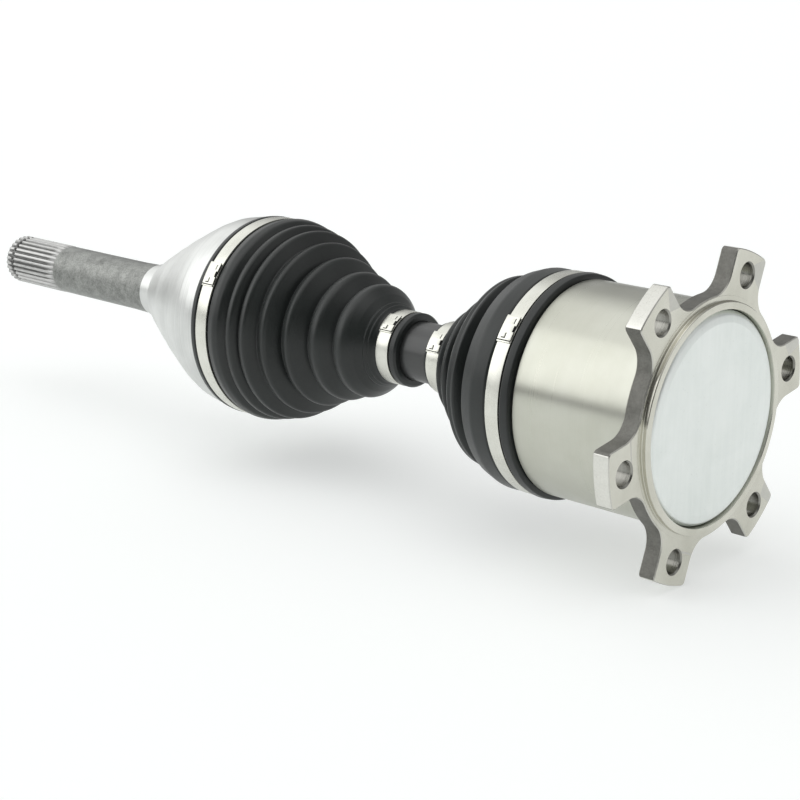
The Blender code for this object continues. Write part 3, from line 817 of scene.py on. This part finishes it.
def make_boots():
    inner = [(71.6, LARGE_R - 0.6, 0), (72.2, 53.5, 0.9), (76.3, 53.9, 1.0)]
    inner += [(76.9, LARGE_R, 0.3), (85.1, LARGE_R, 0.3)]
    inner += [(86.2, 53.2, 1.2), (93.6, 53.4, 7), (100.6, 51.0, 2.2), (INNER_SPLITS[0], 43.6, 0)]
    inner += [(109.0, 47.8, 1.5), (111.0, 46.6, 0.5), (112.8, 46.8, 1.2), (116.4, 42.9, 1.8)]
    inner += [(INNER_SPLITS[1], 33.0, 0)]
    inner += [(124.6, 36.9, 1.9), (128.6, 32.8, 2.2), (131.2, 26.4, 0.7), (135.4, 28.4, 1.7), (139.8, 22.8, 1.8)]
    inner += [(142.6, INNER_CUFF_R + 0.1, 0.8), (143.1, INNER_CUFF_R, 0)]
    inner += [(151.4, INNER_CUFF_R, 0.2), (151.9, 17.7, 0.5), (153.1, 17.4, 0)]
    seats = [(71, 91.5, LARGE_SEAT_R), (142.5, 154, CUFF_SEAT_R)]
    first, second = INNER_SPLITS
    parts = [(first, "root", "plunging_boot", 86, first - 0.3)]
    parts += [(second, "plunging_boot", "top_roller", first + 0.3, second - 0.3)]
    parts += [(154, "top_roller", "shaft", second + 0.3, 143)]
    make_boot("fine_inner_boot", inner, seats, parts, "inner_boot")

    outer = [(170.9, 17.8, 0), (171.9, 18.8, 0.5), (174.9, 18.8, 0.5), (175.5, OUTER_CUFF_R, 0.2)]
    outer += [(184.2, OUTER_CUFF_R, 0.3)]
    outer += [(186.4, 19.3, 0.6), (187.4, 20.6, 0.5), (188.3, 20.2, 0.4), (189.4, 21.6, 0.5), (190.4, 21.4, 0.5)]
    outer += [(193.2, 25.0, 3), (198.2, 29.6, 5), (203.4, 28.6, 3), (206, 25.6, 0.6), (211.6, 33.7, 5)]
    outer += [(216.8, 32.9, 3.4), (220, 29.2, 0.7), (225.8, 39.3, 5), (230.4, 38.3, 3.4), (233, 35.0, 0.7)]
    outer += [(236.6, 45.4, 5), (240.8, 44.7, 3), (243, 42.9, 0.9), (246.4, 50.2, 5)]
    outer += [(250.2, 49.6, 2.6), (252, 47.2, 0.5), (254.3, 52.0, 2.4), (257.5, 51.8, 1.8)]
    outer += [(259, 50.0, 0.5), (261.4, 53.4, 3), (265.2, 54.1, 5), (269, 53.3, 1.6)]
    outer += [(270.2, LARGE_R, 0.3), (278.7, LARGE_R, 0.3), (279.2, 53.7, 0.9), (281.9, 53.4, 0.7), (282.2, 52.4, 0)]
    seats = [(170, 185, CUFF_SEAT_R), (266, 283, LARGE_SEAT_R + 0.1)]
    parts = [(214.2, "shaft", "pivot_balls", 196, 213.5), (255.9, "pivot_balls", "bending_boot", 214.8, 255.2)]
    parts += [(283, "bending_boot", "stub", 256.4, 268.4)]
    make_boot("fine_outer_boot", outer, seats, parts, "outer_boot")


# ---------------------------------------------------------------- bands


def strip(name, path, start, end, thickness, look):
    """Sheet metal of this thickness along a path of (angle, radius of its underside), between two stations."""
    bm = bmesh.new()
    rings = []
    for angle, radius in path:
        a = math.radians(angle)
        ring = []
        for s, r in ((start, radius), (end, radius), (end, radius + thickness), (start, radius + thickness)):
            ring.append(bm.verts.new((at(s), r * MM * math.sin(a), r * MM * math.cos(a))))
        rings.append(ring)
    for first, second in zip(rings, rings[1:]):
        for i in range(4):
            bm.faces.new((first[i - 1], first[i], second[i], second[i - 1]))
    bm.faces.new(rings[0])
    bm.faces.new(rings[-1])
    return finish_mesh(name, bm, look)


def bevelled(piece, width, sharp=40):
    bevel = piece.modifiers.new("edges", "BEVEL")
    bevel.width = width * MM
    bevel.segments = 2
    bevel.angle_limit = math.radians(sharp)
    applied(piece)
    smooth(piece, sharp)
    return piece


# Openings in a lap: from where to where along it, and across it as shares of its width.
LAP_OPENINGS = (
    ((-7.4, -6.8), (-0.1, 1.1)),  # a line across, above the lower end
    ((-5.9, -2.6), (0.50, 0.575)),  # the hook's slot
    ((-5.9, -5.3), (0.54, 0.80)),  # and its foot
    ((-1.7, 2.1), (-0.1, 0.17)),  # a notch in the edge
    ((3.2, 6.6), (0.25, 0.315)),  # a thin slot
)


def make_band(name, node, body, inner_r, turn, size):
    """A clamp of stainless strip: the ring, a lap that stands off it, with slots, a notch and a line, and under the
    lap a near-black sheet of painted shade.

    turn: where the lap's middle stands. size: the lap's length, as a share of the longest one's.
    """
    start, end = span(node)
    outer, width = inner_r + 0.9, end - start
    corners = [(start, inner_r, 0), (start, outer, 0.25), (end, outer, 0.25), (end, inner_r, 0)]
    ring = turned(name, rounded(corners, 4), BAND, 180)

    def run(first, last, low, high, count=20):
        """Points between two distances along the lap, rising from one height above the ring to another."""
        shares = [i / (count - 1) for i in range(count)]
        angles = [turn + math.degrees((first + (last - first) * t) * size / outer) for t in shares]
        return [(angle, outer + low + (high - low) * t) for angle, t in zip(angles, shares)]

    lap = strip(name + "_lap", run(-8.2, 8.2, 0.1, 0.55), start + 0.3, end + 0.3, 0.55, BAND)
    # The cutters are near-black steel, so the walls of the openings carry painted shade.
    openings = []
    for k, ((first, last), (near, far)) in enumerate(LAP_OPENINGS):
        path = run(first, last, -0.5, -0.5, 5)
        openings.append(strip(f"opening_{k}", path, start + width * near, start + width * far, 3, DARK))
    cut(lap, openings)
    # Painted shade: a near-black sheet in the gap under the lap, seen through its openings and round its edges.
    painted_shade_sheet = strip(name + "_gap", run(-7.9, 7.8, 0.0, 0.4), start + 0.4, end - 0.1, 0.08, DARK)
    for piece in (ring, bevelled(lap, 0.07), painted_shade_sheet):
        place(piece, body, "band_steel", *([node] if piece is ring else []))


# ---------------------------------------------------------------- the whole


def dress_inner_parts():
    """The CAD solids inside the joints keep their shape and get their finish."""
    looks = {"hardened_steel": GROUND, "spring_steel": SPRING}
    for part in frame["record"]["subparts"]:
        look = looks.get(part["material_slot"])
        if look:
            node = NODES[part["node"]]
            node.data.materials.clear()
            node.data.materials.append(look)


make_studio()
make_camera()
dress_inner_parts()
make_inner_housing()
make_end_cap()
make_shaft()
make_outer_housing()
make_boots()
make_band("inner_band_large", "inner_boot_band_large", "root", LARGE_R + 0.3, -50, 0.8)
make_band("inner_band_small", "inner_boot_band_small", "shaft", INNER_CUFF_R + 0.3, -52, 0.66)
make_band("outer_band_small", "outer_boot_band_small", "shaft", OUTER_CUFF_R + 0.3, -38, 0.66)
make_band("outer_band_large", "outer_boot_band_large", "stub", LARGE_R + 0.3, -55, 0.8)
